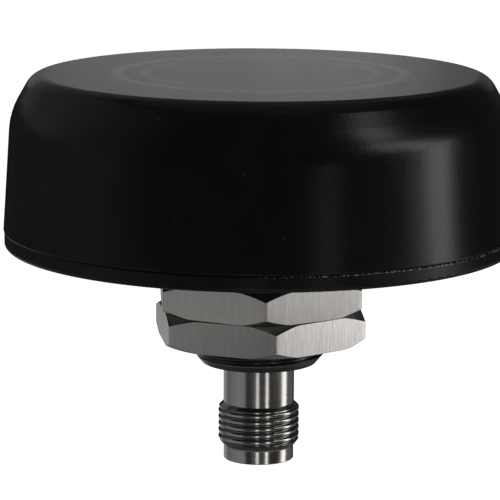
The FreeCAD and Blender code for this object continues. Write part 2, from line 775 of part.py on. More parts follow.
def make_pigtail():
    """Thin coaxial cable from the jack's tail up through the stem and over to the board's socket."""
    body = new_body("coax_pigtail", JACK_TAIL_TOP)
    route = new_sketch(body, "PigtailRoute", "YZ_Plane")
    corner = FreeCAD.Vector(0, 2, 0)
    up = route.addGeometry(Part.LineSegment(FreeCAD.Vector(0, 0, 0), corner), False)
    arc = Part.ArcOfCircle(Part.Circle(FreeCAD.Vector(-7, 2, 0), Z_AXIS, 7), 0, math.pi / 2)
    bend = route.addGeometry(arc, False)
    over = route.addGeometry(Part.LineSegment(FreeCAD.Vector(-7, 9, 0), FreeCAD.Vector(-10, 9, 0)), False)
    route.addConstraint(Sketcher.Constraint("Coincident", up, 1, -1, 1))
    route.addConstraint(Sketcher.Constraint("PointOnObject", up, 2, -2))
    route.addConstraint(Sketcher.Constraint("Tangent", up, 2, bend, 1))
    route.addConstraint(Sketcher.Constraint("Tangent", bend, 2, over, 1))
    route.addConstraint(Sketcher.Constraint("Horizontal", over))
    dimension(route, "Radius", bend, 7, text="pigtail_bend_radius")
    dimension(route, "DistanceY", -1, 1, over, 2, 9, text=f"{PIGTAIL_LEVEL} - {JACK_TAIL_TOP}")
    dimension(route, "DistanceX", over, 2, -1, 1, 10, text="plug_reach - plug_barrel_length")
    section = new_sketch(body, "PigtailSection", "XY_Plane")
    circle("pigtail_diameter")(section)
    cable = body.newObject("PartDesign::AdditivePipe", "PigtailCable")
    cable.Profile = section
    cable.Spine = (route, ["Edge1", "Edge2", "Edge3"])
    doc.recompute()
    return body


def make_plug():
    """Angled micro plug: a round cap and the crimp barrel that the cable enters."""
    body = new_body("pigtail_plug", f"{SOCKET_BOTTOM} - plug_height")
    raised(body, "PlugCap", circle("plug_diameter"), "plug_height", along="0 - plug_reach")
    sketch = new_sketch(
        body, "PlugBarrelOutline", level="plug_reach - plug_barrel_length", along="plug_height / 2",
    )
    circle("plug_barrel_diameter")(sketch)
    barrel = body.newObject("PartDesign::Pad", "PlugBarrel")
    barrel.Profile = sketch
    barrel.setExpression("Length", bound("plug_barrel_length"))
    doc.recompute()
    return body


def make_block(name, height, draw, thickness, **where):
    """A flat piece of one thickness."""
    body = new_body(name, height)
    raised(body, f"{name}Block", draw, thickness, **where)
    return body


def feed_holes(body, name, depth, offsets):
    """Clearance holes for the feed pins, cut upwards from the body's level 0."""
    for number, offset in enumerate(offsets, start=1):
        sunk(
            body, f"{name}FeedHole{number}", circle("feed_pin_diameter + 2 * feed_gap"), depth,
            upwards=True, across=offset,
        )


def make_board():
    """Round circuit board, scalloped for the radome's bosses, with the screws' and pins' holes."""
    body = new_body("circuit_board", BOARD_BOTTOM)
    raised(body, "BoardDisc", circle(f"2 * {BOARD_RADIUS}"), "board_thickness")
    scallop = sunk(
        body, "BoardScallop", circle("boss_diameter + 2 * board_scallop_gap"), "board_thickness",
        upwards=True, across=BOSS,
    )
    around(body, [scallop], "housing_screw_count")
    hole = sunk(
        body, "BoardHole", circle("board_screw_diameter"), "board_thickness",
        upwards=True, across=CORNER, along=CORNER,
    )
    around(body, [hole], "board_screw_count")
    feed_holes(body, "Board", "board_thickness", FEEDS)
    return body


def make_can():
    """Pressed screening can, open towards the board's underside."""
    body = new_body("shield_can", f"{BOARD_BOTTOM} - can_height")
    raised(body, "CanForm", rectangle("can_length", "can_width"), "can_height", along=CAN_PLACE)
    eased(body, "CanRounding", "Fillet", upright, "2 * can_wall")
    sunk(
        body, "CanHollow", rectangle("can_length - 2 * can_wall", "can_width - 2 * can_wall"),
        "can_height - can_wall", level="can_height", along=CAN_PLACE,
    )
    return body


def make_row(name, length, width, height, spacing, count, along):
    """Separate like blocks in a row under the board, evenly spaced about the middle."""
    body = new_body(name, f"{BOARD_BOTTOM} - {height}")
    body.AllowCompound = True
    block = raised(
        body, f"{name}Block", rectangle(length, width), height,
        across=f"0 - {spacing} * ({count} - 1) / 2", along=along,
    )
    row = body.newObject("PartDesign::LinearPattern", f"{name}Row")
    row.Originals = [block]
    row.Direction = (datum(body, "X_Axis"), [""])
    row.setExpression("Length", bound(f"{spacing} * ({count} - 1)"))
    row.setExpression("Occurrences", bound(count))
    body.Tip = row
    doc.recompute()
    return body


def make_tile(name, height, width, thickness, offsets):
    """Square ceramic tile, or the adhesive film under it, with rounded corners and the pins' holes."""
    body = new_body(name, height)
    raised(body, f"{name}Square", rectangle(width, width), thickness)
    eased(body, f"{name}Rounding", "Fillet", upright, "patch_corner_rounding")
    feed_holes(body, name, thickness, offsets)
    return body


def make_electrode(name, height, patch_size, offsets):
    """Silver electrode on a tile, two corners cut for circular polarisation."""
    body = new_body(name, height)
    shape = clipped_square(f"{patch_size} - 2 * electrode_margin", "electrode_corner_cut")
    raised(body, f"{name}Layer", shape, "electrode_thickness")
    feed_holes(body, name, "electrode_thickness", offsets)
    return body


def make_feed_pin(name, seat, offset):
    """Headed pin from an electrode down through the board."""
    body = new_body(name, seat)
    reach = f"({seat} - {BOARD_BOTTOM} + feed_pin_tail)"
    raised(body, f"{name}Shank", circle("feed_pin_diameter"), reach, level=f"0 - {reach}", across=offset)
    raised(body, f"{name}Head", circle("feed_pin_head_diameter"), "feed_pin_head_height", across=offset)
    return body


parts = [
    make_radome(),
    make_base(),
    make_ring_seal("housing_seal", f"{BASE_BOTTOM} + seal_height", SEAL_RADIUS, "seal_section"),
    make_gasket(),
    make_screws(
        "housing_screws", f"{BASE_BOTTOM} + screw_recess_depth", "screw_diameter", "screw_length",
        "screw_head_diameter", "screw_head_height", False, "housing_screw_count", across=BOSS,
    ),
    make_stem(),
    make_screws(
        "stem_screws", FLANGE_TOP, "stem_screw_diameter", "stem_screw_length",
        "stem_screw_head_diameter", "stem_screw_head_height", True, "stem_screw_count",
        across="stem_screw_circle / 2",
    ),
    make_washer(),
    make_nut("mounting_nut_upper", "0 - upper_nut_drop", "upper_nut_turn"),
    make_nut("mounting_nut_lower", "0 - upper_nut_drop - nut_height - nut_jam_gap", "lower_nut_turn"),
    make_jack(),
    make_insulator(),
    make_contact(),
    make_ring_seal(
        "connector_seal", f"{JACK_SEAT} - jack_seal_drop", f"({JACK_HOLE} - jack_seal_section / 2)",
        "jack_seal_section",
    ),
    make_retainer(),
    make_pigtail(),
    make_plug(),
    make_block(
        "board_socket", SOCKET_BOTTOM, rectangle("socket_size", "socket_size"), "socket_height",
        along="0 - plug_reach",
    ),
    make_board(),
    make_screws(
        "board_screws", BOARD_TOP, "board_screw_diameter", "board_screw_length",
        "board_screw_head_diameter", "board_screw_head_height", True, "board_screw_count",
        across=CORNER, along=CORNER,
    ),
    make_can(),
    make_row(
        "saw_filters", "filter_size", "filter_size", "filter_height", "filter_spacing", "2", CAN_PLACE,
    ),
    make_row(
        "amplifier_chips", "amplifier_size", "amplifier_size", "amplifier_height", "amplifier_spacing", "2",
        f"{CAN_PLACE} + amplifier_row",
    ),
    make_row(
        "capacitors", "capacitor_width", "capacitor_length", "capacitor_height", "capacitor_pitch",
        "capacitor_count", "0 - capacitor_row",
    ),
    make_tile("lower_patch_tape", BOARD_TOP, LOWER_PATCH, "tape_thickness", FEEDS),
    make_tile("lower_patch", LOWER_PATCH_BOTTOM, LOWER_PATCH, "lower_patch_height", FEEDS),
    make_electrode("lower_electrode", LOWER_PATCH_TOP, LOWER_PATCH, FEEDS),
    make_tile("upper_patch_tape", UPPER_TAPE_BOTTOM, UPPER_PATCH, "tape_thickness", UPPER_FEED),
    make_tile("upper_patch", UPPER_PATCH_BOTTOM, UPPER_PATCH, "upper_patch_height", UPPER_FEED),
    make_electrode("upper_electrode", UPPER_PATCH_TOP, UPPER_PATCH, UPPER_FEED),
    make_feed_pin("lower_feed_pin", UPPER_TAPE_BOTTOM, LOWER_FEED),
    make_feed_pin("upper_feed_pin", PIN_SEAT, "upper_feed_offset"),
    make_block("foam_pad", FOAM_BOTTOM, circle("foam_diameter"), f"{CEILING} - {FOAM_BOTTOM}"),
]

doc.recompute()
for item in doc.Objects:
    if "Invalid" in item.State or "Error" in item.State:
        raise RuntimeError(f"{item.Name} failed: {item.State}")
for part in parts:
    if part.Shape.isNull() or not part.Shape.isValid() or not part.Shape.Solids:
        raise RuntimeError(f"{part.Label} has no valid solid")

pigtail = next(part for part in parts if part.Label == "coax_pigtail")
cable_length = pigtail.Shape.Volume / (math.pi * size("pigtail_diameter") ** 2 / 4)
print(f"coax_pigtail: bend radius {size('pigtail_bend_radius')} mm, length {cable_length:.2f} mm")

os.makedirs("parts", exist_ok=True)
for part in parts:
    part.Shape.exportStep(f"parts/{part.Label}.step")
    print(f"{part.Label}: {len(part.Shape.Solids)} solid(s), {part.Shape.Volume:.1f} mm3")
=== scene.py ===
import math

import bmesh
import bpy
from mathutils import Matrix, Vector


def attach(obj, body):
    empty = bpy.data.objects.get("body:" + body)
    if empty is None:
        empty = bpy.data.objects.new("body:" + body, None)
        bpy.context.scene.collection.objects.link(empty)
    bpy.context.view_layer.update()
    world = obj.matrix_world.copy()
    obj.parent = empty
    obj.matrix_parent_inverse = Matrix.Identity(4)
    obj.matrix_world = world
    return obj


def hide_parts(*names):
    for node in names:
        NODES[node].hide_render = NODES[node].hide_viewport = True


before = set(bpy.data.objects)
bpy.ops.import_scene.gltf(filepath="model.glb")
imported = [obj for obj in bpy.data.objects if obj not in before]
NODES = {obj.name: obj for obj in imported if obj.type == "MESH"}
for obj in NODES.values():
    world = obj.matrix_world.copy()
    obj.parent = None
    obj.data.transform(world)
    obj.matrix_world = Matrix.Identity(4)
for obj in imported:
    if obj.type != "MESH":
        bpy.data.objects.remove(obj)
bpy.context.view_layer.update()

MM = 0.001
PER_METRE = 1000
TINY = 1e-6

# Sizes of the stem, the jack and the nuts, in millimetres
STEM_RADIUS = 9.525
STEM_END = -15.54
JACK_RADIUS = 5.54
JACK_END = -29.13
NUT_FLATS = 26.7
NUT_HEIGHT = 4.43
NUT_BORE = STEM_RADIUS + 0.06
NUT_SINK = 0.5  # countersink at both ends of the bore
NUT_CORNER = 0.25  # rounding of the hexagon's corners
NUT_CONE = NUT_FLATS / 2 + 0.5  # radius at which the cone leaves the face
NUT_CONE_SLOPE = math.tan(math.radians(33.2))
NUT_EDGE = 0.05  # least width and height of the cone
NUT_FACE_TILT = 0.3  # a wall whose normal rises or falls more than this is turned, not brushed

# Sections as (radius, height, rounding of the corner), going round the wall
STEM_SECTION = [
    (15, 5.6, 0), (15, 3.6, 0), (STEM_RADIUS, 3.6, 0), (STEM_RADIUS, -13.47, 1.2),
    (7.8, STEM_END, 0.2), (5.0, STEM_END, 0.15), (4.9, -15.3, 0), (4.9, -7, 0),
    (7, -7, 0), (7, 5.6, 0),
]
JACK_SECTION = [
    (4.32, JACK_END, 0), (4.8, JACK_END, 0.12), (4.8, -27.3, 0.1), (JACK_RADIUS, -26.34, 0),
    (JACK_RADIUS, -21.86, 0), (4.97, -21.3, 0), (4.85, -21.16, 0), (4.85, -9.75, 0),
    (3.7, -9.75, 0), (3.7, -8.25, 0), (4.85, -8.25, 0), (4.85, -7, 0), (6.8, -7, 0),
    (6.8, -5, 0), (1.8, -5, 0), (1.8, -2, 0), (0.55, -2, 0), (0.55, -5.8, 0), (2.35, -5.8, 0),
    (2.35, -20.83, 0), (4.07, -20.83, 0), (4.07, -28.88, 0.1),
]

# Threads in millimetres, cut between two heights; crest and root are shares of the pitch
STEM_THREAD = {
    "low": -15.5, "high": 0.5, "major": STEM_RADIUS, "start": -16.1,
    "pitch": 25.4 / 16, "depth": 1.0, "crest": 0.1, "root": 0.16,
}
JACK_THREAD = {
    "low": -27.25, "high": -21.2, "major": JACK_RADIUS, "start": -27.46,
    "pitch": 25.4 / 28, "depth": 0.19, "crest": 0.3, "root": 0.2,
}

# Close rows of points for the threads: between two heights, one step apart, outside a radius
STEM_ROWS = {"low": -15.6, "high": 0.6, "step": 0.08, "outside": 7.5}
JACK_ROWS = {"low": -27.2, "high": -21.2, "step": 0.045, "outside": 4.6}
LONGEST_STEP = 3.0
WALL_REACH = 2.2  # a thread's wall lies within this many depths of its crests


# Rounded sections and turned meshes

def rounded(corners, steps=6):
    """Points along straight runs through corners (r, z, radius), each rounded by its radius."""
    points = []
    for i, (r, z, radius) in enumerate(corners):
        here = Vector((r, z))
        if radius == 0 or i in (0, len(corners) - 1):
            points.append(here)
            continue
        back = (Vector(corners[i - 1][:2]) - here).normalized()
        ahead = (Vector(corners[i + 1][:2]) - here).normalized()
        half = back.angle(ahead) / 2
        reach = radius / math.tan(half)
        centre = here + (back + ahead).normalized() * radius / math.sin(half)
        start = here + back * reach - centre
        end = here + ahead * reach - centre
        turn = start.angle_signed(end)
        for step in range(steps + 1):
            points.append(centre + Matrix.Rotation(-turn * step / steps, 2) @ start)
    return points


def with_rows(corners, low, high, step, outside):
    """The rounded section, with close, even rows of points where a thread will be cut."""
    line = rounded(corners)
    points = [line[0]]
    for start, end in zip(line, line[1:]):
        bottom, top = sorted((start.y, end.y))
        in_thread = min(start.x, end.x) > outside and bottom < high and top > low
        longest = step if in_thread and top - bottom > step else LONGEST_STEP
        pieces = max(1, math.ceil((end - start).length / longest))
        points += [start.lerp(end, k / pieces) for k in range(1, pieces + 1)]
    return points


def turned(name, points, around):
    """A mesh turned about Z from a closed section in millimetres."""
    mesh = bmesh.new()
    angles = [2 * math.pi * i / around for i in range(around)]
    rings = [
        [mesh.verts.new((r * math.cos(a) * MM, r * math.sin(a) * MM, z * MM)) for a in angles]
        for r, z in points
    ]
    for low, high in zip(rings, rings[1:] + rings[:1]):
        for i in range(around):
            j = (i + 1) % around
            mesh.faces.new((low[i], low[j], high[j], high[i]))
    bmesh.ops.recalc_face_normals(mesh, faces=mesh.faces)
    return finished(name, mesh)


def finished(name, mesh, sharp=40):
    """A linked object of the mesh, smooth except where faces meet at a sharp angle."""
    data = bpy.data.meshes.new(name)
    for face in mesh.faces:
        face.smooth = True
    for edge in mesh.edges:
        if len(edge.link_faces) == 2 and edge.calc_face_angle() > math.radians(sharp):
            edge.smooth = False
    mesh.to_mesh(data)
    mesh.free()
    piece = bpy.data.objects.new(name, data)
    bpy.context.scene.collection.objects.link(piece)
    return piece


def paint(piece, material):
    piece.data.materials.clear()
    piece.data.materials.append(material)


# Steps that geometry and material trees share

def maths(tree, operation, first, second=None):
    """One step of arithmetic on sockets or plain numbers."""
    node = tree.nodes.new("ShaderNodeMath")
    node.operation = operation
    for socket, value in zip(node.inputs, (first, second)):
        if isinstance(value, (int, float)):
            socket.default_value = value
        elif value is not None:
            tree.links.new(value, socket)
    return node.outputs[0]


def product(tree, *values):
    result = values[0]
    for value in values[1:]:
        result = maths(tree, "MULTIPLY", result, value)
    return result


def off_axis(tree, x, y):
    """Distance from the Z axis."""
    return maths(tree, "SQRT", maths(tree, "ADD", product(tree, x, x), product(tree, y, y)))


# Screw threads, cut by Geometry Nodes

def named_value(tree, name):
    node = tree.nodes.new("GeometryNodeInputNamedAttribute")
    node.data_type = "FLOAT"
    node.inputs["Name"].default_value = name
    return node.outputs["Attribute"]


def thread_tree():
    """A tree that cuts a right-hand thread into the vertices marked as threaded."""
    tree = bpy.data.node_groups.new("Screw thread", "GeometryNodeTree")
    nodes, links = tree.nodes, tree.links
    sockets = [("Geometry", "Geometry")]
    sockets += [(label, "Float") for label in ("Pitch", "Depth", "Crest", "Root", "Start")]
    sockets += [("Finish", "Material")]
    inputs = {}
    for label, kind in sockets:
        socket = tree.interface.new_socket(
            label, in_out="INPUT", socket_type="NodeSocket" + kind)
        inputs[label] = socket.identifier
    tree.interface.new_socket("Geometry", in_out="OUTPUT", socket_type="NodeSocketGeometry")
    given = nodes.new("NodeGroupInput").outputs
    place = nodes.new("GeometryNodeInputPosition")
    parts = nodes.new("ShaderNodeSeparateXYZ")
    links.new(place.outputs[0], parts.inputs[0])
    x, y, z = parts.outputs

    turn = maths(tree, "DIVIDE", maths(tree, "ARCTAN2", y, x), 2 * math.pi)
    rise = maths(tree, "DIVIDE", maths(tree, "SUBTRACT", z, given["Start"]), given["Pitch"])
    wave = product(tree, maths(tree, "PINGPONG", maths(tree, "SUBTRACT", rise, turn), 0.5), 2)
    span = maths(tree, "SUBTRACT", maths(tree, "SUBTRACT", 1, given["Root"]), given["Crest"])
    flank = maths(tree, "DIVIDE", maths(tree, "SUBTRACT", wave, given["Crest"]), span)
    share = maths(tree, "MINIMUM", maths(tree, "MAXIMUM", flank, 0), 1)
    level = product(tree, share, given["Depth"], named_value(tree, "threaded"))
    cut = maths(tree, "MAXIMUM", maths(tree, "SUBTRACT", level, named_value(tree, "spare")), 0)
    radius = off_axis(tree, x, y)
    remaining = maths(tree, "DIVIDE", maths(tree, "SUBTRACT", radius, cut), radius)

    moved = nodes.new("ShaderNodeCombineXYZ")
    links.new(product(tree, x, remaining), moved.inputs["X"])
    links.new(product(tree, y, remaining), moved.inputs["Y"])
    links.new(z, moved.inputs["Z"])
    setter = nodes.new("GeometryNodeSetPosition")
    links.new(given["Geometry"], setter.inputs["Geometry"])
    links.new(moved.outputs[0], setter.inputs["Position"])
    real = nodes.new("GeometryNodeRealizeInstances")
    links.new(setter.outputs[0], real.inputs[0])
    painted = nodes.new("GeometryNodeSetMaterial")
    links.new(real.outputs[0], painted.inputs["Geometry"])
    links.new(given["Finish"], painted.inputs["Material"])
    links.new(painted.outputs[0], nodes.new("NodeGroupOutput").inputs[0])
    return tree, inputs


THREAD, THREAD_INPUTS = thread_tree()


def threaded(piece, finish, low, high, major, start, pitch, depth, crest, root):
    """Cuts a thread into the wall between two heights, shallower where the wall draws in."""
    marks = piece.data.attributes.new("threaded", "FLOAT", "POINT")
    spare = piece.data.attributes.new("spare", "FLOAT", "POINT")
    for i, vertex in enumerate(piece.data.vertices):
        r = math.hypot(vertex.co.x, vertex.co.y) / MM
        z = vertex.co.z / MM
        if low - TINY <= z <= high + TINY and abs(r - major) < depth * WALL_REACH:
            marks.data[i].value = 1
            spare.data[i].value = max(0, major - r) * MM
    modifier = piece.modifiers.new("Thread", "NODES")
    modifier.node_group = THREAD
    values = {
        "Pitch": pitch * MM, "Depth": depth * MM, "Start": start * MM,
        "Crest": crest, "Root": root, "Finish": finish,
    }
    for label, value in values.items():
        modifier[THREAD_INPUTS[label]] = value
    bpy.context.view_layer.update()
    shape = piece.evaluated_get(bpy.context.evaluated_depsgraph_get())
    data = bpy.data.meshes.new_from_object(shape)
    piece.modifiers.clear()
    piece.data = data
    for name in ("threaded", "spare"):
        data.attributes.remove(data.attributes[name])
    return piece


# Materials, with tones as 8-bit display values and lengths in millimetres

WHITE = (1, 1, 1, 1)
NO_TINT = (1, 1, 1)
WARM = (1.0, 0.965, 0.925)
NO_UPPER_END = 2.0  # above the highest value of a noise pattern
CLOUD_SCALE, DUST_SCALE, STAIN_SCALE = 0.12, 2.4, 0.35  # features per millimetre
DUST_FROM, STAIN_FROM = 0.755, 0.6  # noise values above which dust and stains show


def linear(byte):
    """Linear value of an 8-bit display value."""
    value = byte / 255
    return value / 12.92 if value <= 0.04045 else ((value + 0.055) / 1.055) ** 2.4


def grey(byte, tint=NO_TINT):
    return tuple(linear(byte) * part for part in tint) + (1,)


def new_material(name, colour, roughness, metallic=0.0, specular=0.5):
    """A material and its shader, with what is the same all over set on the shader."""
    material = bpy.data.materials.new(name)
    material.use_nodes = True
    shader = material.node_tree.nodes["Principled BSDF"]
    shader.inputs["Base Color"].default_value = colour
    shader.inputs["Roughness"].default_value = roughness
    shader.inputs["Metallic"].default_value = metallic
    shader.inputs["Specular IOR Level"].default_value = specular
    return material, shader


def object_place(tree):
    return tree.nodes.new("ShaderNodeTexCoord").outputs["Object"]


def noise(tree, scale, detail, stretch=(1, 1, 1), roughness=0.6):
    """A noise pattern on Object coordinates; scale counts features per millimetre."""
    mapping = tree.nodes.new("ShaderNodeMapping")
    mapping.inputs["Scale"].default_value = [scale * PER_METRE * part for part in stretch]
    texture = tree.nodes.new("ShaderNodeTexNoise")
    texture.inputs["Scale"].default_value = 1.0
    texture.inputs["Detail"].default_value = detail
    texture.inputs["Roughness"].default_value = roughness
    tree.links.new(object_place(tree), mapping.inputs["Vector"])
    tree.links.new(mapping.outputs["Vector"], texture.inputs["Vector"])
    return texture.outputs["Fac"]


def ramp(tree, factor, *stops):
    """A colour that runs between two stops (position, colour) as the factor rises."""
    node = tree.nodes.new("ShaderNodeValToRGB")
    for element, (position, colour) in zip(node.color_ramp.elements, stops):
        element.position = position
        element.color = colour
    tree.links.new(factor, node.inputs["Fac"])
    return node.outputs["Color"]


def map_range(tree, value, **ends):
    """The value carried from one range to another; ranges that aren't given run from 0 to 1."""
    node = tree.nodes.new("ShaderNodeMapRange")
    for label, number in ends.items():
        node.inputs[label.replace("_", " ").title()].default_value = number
    tree.links.new(value, node.inputs["Value"])
    return node.outputs["Result"]


def band(tree, value, low, high, soft=0.05):
    """1 where the value lies between low and high, with soft ends."""
    rising = map_range(tree, value, from_min=low - soft, from_max=low + soft)
    falling = map_range(tree, value, from_min=high + soft, from_max=high - soft)
    return product(tree, rising, falling)


def over(tree, mask, below, above):
    """The plain colour above laid over the colour below where the mask is 1."""
    node = tree.nodes.new("ShaderNodeMix")
    node.data_type = "RGBA"
    colours = [socket for socket in node.inputs if socket.type == "RGBA"]
    tree.links.new(mask, node.inputs["Factor"])
    tree.links.new(below, colours[0])
    colours[1].default_value = above
    return next(socket for socket in node.outputs if socket.type == "RGBA")


def surface(tree, shader, colour, texture, rough, relief):
    """Gives the shader its colour, and its gloss and fine relief from one texture."""
    tree.links.new(colour, shader.inputs["Base Color"])
    gloss = map_range(tree, texture, to_min=rough[0], to_max=rough[1])
    tree.links.new(gloss, shader.inputs["Roughness"])
    node = tree.nodes.new("ShaderNodeBump")
    node.inputs["Strength"].default_value = 1.0
    node.inputs["Distance"].default_value = relief * MM
    tree.links.new(texture, node.inputs["Height"])
    tree.links.new(node.outputs["Normal"], shader.inputs["Normal"])


def moulded(name, dark, light, rough, grain=4.0, relief=0.012, specular=0.3, marks=None,
            tint=NO_TINT):
    """Fine-grained plastic, rubber, foam or ceramic: cloudy, with a little dust and its marks."""
    material, shader = new_material(name, grey(dark, tint), rough[0], specular=specular)
    tree = material.node_tree
    cloud = noise(tree, CLOUD_SCALE, 2.0)
    colour = ramp(tree, cloud, (0.3, grey(dark, tint)), (0.75, grey(light, tint)))
    dust = band(tree, noise(tree, DUST_SCALE, 2.0), DUST_FROM, NO_UPPER_END, 0.01)
    colour = over(tree, product(tree, dust, 0.5), colour, grey(min(light + 60, 235), tint))
    if marks:
        colour = marks(tree, colour)
    surface(tree, shader, colour, noise(tree, grain, 2.0, roughness=0.5), rough, relief)
    return material


def brushed(name, dark, light, rough, stretch, scale=6.0, relief=0.004, tint=NO_TINT,
            marks=None):
    """Metal with fine lines, drawn out along the axes with a small stretch, and faint stains."""
    material, shader = new_material(name, grey(light, tint), rough[0], metallic=1.0)
    tree = material.node_tree
    lines = noise(tree, scale, 4.0, stretch, roughness=0.7)
    colour = ramp(tree, lines, (0.25, grey(dark, tint)), (0.75, grey(light, tint)))
    stain = band(tree, noise(tree, STAIN_SCALE, 3.0), STAIN_FROM, NO_UPPER_END, 0.12)
    colour = over(tree, product(tree, stain, 0.35), colour, grey(dark, tint))
    if marks:
        colour = marks(tree, colour)
    surface(tree, shader, colour, lines, rough, relief)
    return material


# Marks that some finishes carry at their place on the piece: rings with a painted sheen, and
# painted glints and painted shade

def spot(tree):
    """Distance to the right of the axis, distance from the axis, and height, in millimetres."""
    parts = tree.nodes.new("ShaderNodeSeparateXYZ")
    tree.links.new(object_place(tree), parts.inputs[0])
    x, y, z = (product(tree, socket, PER_METRE) for socket in parts.outputs)
    return x, off_axis(tree, x, y), z


def top_rings_painted_sheen(tree, colour):
    """Two rings on the flat top, painted a lighter grey: a painted sheen that stands in for their
    gloss.
    """
    _, radius, height = spot(tree)
    wide, narrow = band(tree, radius, 18.6, 20.2), band(tree, radius, 15.4, 16.0)
    top = band(tree, height, 24.0, 25.0)
    # painted sheen: the rings are laid in a lighter grey to show the gloss they catch
    return over(tree, product(tree, maths(tree, "ADD", wide, narrow), top), colour, grey(66))


def lip_painted_glints(tree, colour):
    """Small bright flecks painted along the right of the base's lip, where the two halves meet:
    painted glints on the side the light comes from.
    """
    x, radius, height = spot(tree)
    lip = product(tree, band(tree, height, 2.72, 3.2), band(tree, radius, 34.2, 36.0))
    glint_flecks = band(tree, noise(tree, 3.4, 3.0), 0.56, NO_UPPER_END, 0.03)
    on_right = band(tree, x, 6, 60, 8)
    # painted glints: bright flecks on the lit right side of the lip
    return over(tree, product(tree, lip, glint_flecks, on_right), colour, grey(110))


def painted_groove_shade(tree, colour):
    """The jack's thread below its crests, painted darker: painted shade in the grooves."""
    _, radius, height = spot(tree)
    grooves = product(tree, band(tree, radius, 4.9, 5.46), band(tree, height, -27.1, -21.8))
    # painted shade: the grooves are laid in a darker grey
    return over(tree, grooves, colour, grey(105, WARM))


def painted_crest_glints(tree, colour):
    """Bright flecks painted along the last thread of the stem, above its taper: painted glints.
    """
    _, radius, height = spot(tree)
    crest = product(tree, band(tree, height, -14.7, -14.56), band(tree, radius, 7.9, 9.3))
    glint_flecks = band(tree, noise(tree, 2.2, 2.0), 0.42, NO_UPPER_END, 0.12)
    # painted glints: bright flecks on the thread's crest
    return over(tree, product(tree, crest, glint_flecks), colour, grey(72))


radome_plastic = moulded(
    "radome plastic", 8, 12, (0.19, 0.28), grain=3.4, relief=0.015, specular=0.22,
    marks=top_rings_painted_sheen)
base_plastic = moulded("base plastic", 8, 12, (0.22, 0.32), specular=0.22, marks=lip_painted_glints)
stem_plastic = moulded(
    "stem plastic", 15, 20, (0.16, 0.26), grain=1.2, relief=0.003, specular=0.5,
    marks=painted_crest_glints)
black_rubber = moulded("black rubber", 20, 28, (0.7, 0.85))
nut_steel = brushed("brushed nut steel", 192, 226, (0.18, 0.3), (1, 1, 0.05), tint=WARM)
turned_steel = brushed("turned steel", 150, 182, (0.35, 0.5), (1, 1, 1), scale=3.0, tint=WARM)
washer_steel = brushed("washer steel", 120, 175, (0.3, 0.45), (1, 1, 0.5))
screw_steel = brushed("screw steel", 110, 165, (0.25, 0.4), (1, 1, 1))
jack_nickel = brushed(
    "turned nickel", 170, 194, (0.13, 0.2), (0.06, 0.06, 1), scale=5.0, relief=0.0008,
    tint=WARM, marks=painted_groove_shade)
contact_gold = brushed(
    "contact gold", 214, 235, (0.15, 0.25), (0.2, 0.2, 1), relief=0.001, tint=(1, 0.66, 0.25))
dielectric = moulded("white dielectric", 222, 232, (0.35, 0.45), relief=0.004, specular=0.4)
cable_jacket = moulded("cable jacket", 132, 150, (0.3, 0.42), grain=2.5, tint=(1, 0.8, 0.55))
board_laminate = moulded(
    "board laminate", 92, 112, (0.3, 0.4), grain=3.0, relief=0.004, tint=(0.14, 1, 0.4))
tinned_can = brushed("tinned can", 184, 208, (0.25, 0.4), (1, 0.1, 1), scale=3.0, tint=WARM)
chip_black = moulded("chip black", 24, 32, (0.5, 0.65), grain=8.0)
capacitor_body = moulded(
    "capacitor body", 168, 186, (0.4, 0.55), grain=8.0, tint=(1, 0.74, 0.5))
patch_ceramic = moulded(
    "patch ceramic", 216, 228, (0.45, 0.6), grain=6.0, tint=(1, 0.95, 0.84))
silver_layer = brushed("silver layer", 212, 232, (0.25, 0.4), (1, 0.3, 1), scale=4.0)
adhesive_film = moulded("adhesive film", 220, 230, (0.5, 0.65), tint=(1, 0.95, 0.8))
foam = moulded("open foam", 46, 92, (0.85, 0.95), grain=1.6, relief=0.15, specular=0.1)


# Pieces that are finer than the solids: threads, and the turned corners of the nuts

def make_stem():
    """Black stem: flange in the housing, thread down to the tapered end, the jack's bore."""
    stem = turned("stem_threaded", with_rows(STEM_SECTION, **STEM_ROWS), 224)
    return threaded(stem, stem_plastic, **STEM_THREAD)


def make_jack():
    """Plated jack: nose, coupling thread, barrel with its seal's groove, flange, tail, bore."""
    jack = turned("jack_body", with_rows(JACK_SECTION, **JACK_ROWS), 256)
    return threaded(jack, jack_nickel, **JACK_THREAD)


def nut_outline():
    """Points round the hexagon in millimetres, its corners rounded off a little."""
    flat_points, corner_points = 36, 5
    flat = NUT_FLATS / 2
    to_centre = flat - NUT_CORNER
    half = to_centre * math.tan(math.radians(30))
    points = []
    for side in range(6):
        middle = math.radians(60 * side - 60)
        out = Vector((math.cos(middle), math.sin(middle)))
        along = Vector((-out.y, out.x))
        for k in range(flat_points):
            points.append(out * flat + along * half * (2 * k / (flat_points - 1) - 1))
        centre = out * to_centre + along * half
        for k in range(1, corner_points + 1):
            spin = middle + math.radians(60 * k / (corner_points + 1))
            points.append(centre + NUT_CORNER * Vector((math.cos(spin), math.sin(spin))))
    return points


def nut_section(reach, top):
    """Radii and heights round the nut's wall, where its outline is at the given reach."""
    bottom, rows = top - NUT_HEIGHT, 44
    start = min(reach - NUT_EDGE, NUT_CONE)
    fall = max(NUT_EDGE, (reach - NUT_CONE) * NUT_CONE_SLOPE)
    bore_height, side_height = NUT_HEIGHT - 2 * NUT_SINK, NUT_HEIGHT - 2 * fall
    face = [(NUT_BORE + NUT_SINK, 0), ((NUT_BORE + NUT_SINK + start) / 2, 0)]
    face += [(start + (reach - start) * share, fall * share) for share in (0, 0.33, 0.67, 1)]
    bore = [(NUT_BORE, top - NUT_SINK - bore_height * k / rows) for k in range(rows + 1)]
    side = [(reach, bottom + fall + side_height * share) for share in (0.25, 0.5, 0.75)]
    return (bore + [(r, bottom + z) for r, z in face] + side
            + [(r, top - z) for r, z in reversed(face)])


